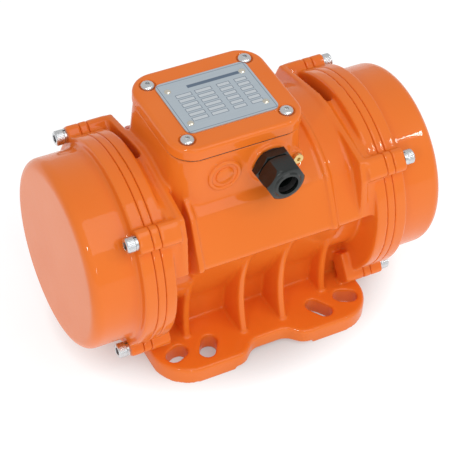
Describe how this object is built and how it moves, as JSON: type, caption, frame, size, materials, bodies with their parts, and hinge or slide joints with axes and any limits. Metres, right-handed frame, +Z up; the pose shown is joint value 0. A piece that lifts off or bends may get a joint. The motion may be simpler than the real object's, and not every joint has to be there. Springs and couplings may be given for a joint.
{
  "type": "vibration motor",
  "caption": "Foot-mounted electric vibration motor: cast body with terminal box, ball-bearing shaft, eccentric weights under round end covers.",
  "frame": {"origin": "middle of the foot's underside, below the middle of the shaft", "axes": "+X along the shaft to the right end cover, -Y to the cable gland's side, +Z up to the terminal box"},
  "size_m": [0.2554, 0.1516, 0.1763],
  "materials": {
    "orange_paint": "glossy orange enamel over an aluminium casting",
    "zinc_plate": "bright zinc plate",
    "nickel_plate": "polished nickel",
    "plate_aluminium": "satin printed aluminium",
    "black_polyamide": "moulded satin",
    "black_rubber": "matte",
    "moulded_resin": "moulded phenolic resin",
    "brass": "turned",
    "lamination_steel": "stacked electrical sheet",
    "copper_winding": "varnished copper wire",
    "cast_aluminium": "as cast",
    "ground_steel": "ground",
    "bearing_steel": "polished",
    "weight_steel": "flame cut and oiled"
  },
  "bodies": {
    "housing": {"body_casting": "orange_paint", "stator_core": "lamination_steel", "stator_winding": "copper_winding", "terminal_box_lid": "orange_paint", "terminal_box_gasket": "black_rubber", "lid_screws": "zinc_plate", "nameplate": "plate_aluminium", "nameplate_rivets": "nickel_plate", "terminal_block": "moulded_resin", "terminal_studs": "brass", "terminal_block_screws": "zinc_plate", "inner_earth_screw": "brass", "outer_earth_screw": "brass", "gland_sealing_ring": "black_rubber", "cable_gland_body": "black_polyamide", "cable_gland_nut": "black_polyamide", "cable_gland_insert": "black_rubber", "left_bearing_flange": "orange_paint", "left_end_cover": "orange_paint", "left_cover_seal": "black_rubber", "left_bearing_retainer": "zinc_plate", "left_bearing_outer_race": "bearing_steel", "left_cover_screws": "zinc_plate", "left_cover_washers": "zinc_plate", "left_retainer_screws": "zinc_plate", "right_bearing_flange": "orange_paint", "right_end_cover": "orange_paint", "right_cover_seal": "black_rubber", "right_bearing_retainer": "zinc_plate", "right_bearing_outer_race": "bearing_steel", "right_cover_screws": "zinc_plate", "right_cover_washers": "zinc_plate", "right_retainer_screws": "zinc_plate"},
    "rotor": {"shaft": "ground_steel", "rotor_core": "lamination_steel", "rotor_cage": "cast_aluminium", "left_bearing_inner_race": "bearing_steel", "left_fixed_weight": "weight_steel", "left_weight_key": "ground_steel", "left_circlip": "bearing_steel", "right_bearing_inner_race": "bearing_steel", "right_fixed_weight": "weight_steel", "right_weight_key": "ground_steel", "right_circlip": "bearing_steel"},
    "left_cage": {"left_bearing_cage": "brass", "left_bearing_balls": "bearing_steel"},
    "left_outer_weight": {"left_adjustable_weight": "weight_steel", "left_clamp_screw": "zinc_plate"},
    "right_cage": {"right_bearing_cage": "brass", "right_bearing_balls": "bearing_steel"},
    "right_outer_weight": {"right_adjustable_weight": "weight_steel", "right_clamp_screw": "zinc_plate"}
  },
  "joints": [
    {"name": "rotor_spin", "type": "hinge", "parent": "housing", "child": "rotor", "pos_m": [0, 0, 0.0785], "axis": [1, 0, 0], "continuous": true},
    {"name": "left_cage_spin", "type": "hinge", "parent": "housing", "child": "left_cage", "pos_m": [-0.07935, 0, 0.0785], "axis": [1, 0, 0], "continuous": true},
    {"name": "left_weight_adjust", "type": "hinge", "parent": "rotor", "child": "left_outer_weight", "pos_m": [-0.1115, 0, 0.0785], "axis": [1, 0, 0], "range_deg": [0, 180]},
    {"name": "right_cage_spin", "type": "hinge", "parent": "housing", "child": "right_cage", "pos_m": [0.07935, 0, 0.0785], "axis": [1, 0, 0], "continuous": true},
    {"name": "right_weight_adjust", "type": "hinge", "parent": "rotor", "child": "right_outer_weight", "pos_m": [0.1115, 0, 0.0785], "axis": [1, 0, 0], "range_deg": [0, 180]}
  ],
  "couplings": [
    {"joint": "left_cage_spin", "follows": "rotor_spin", "ratio": 0.3678},
    {"joint": "right_cage_spin", "follows": "rotor_spin", "ratio": 0.3678}
  ]
}
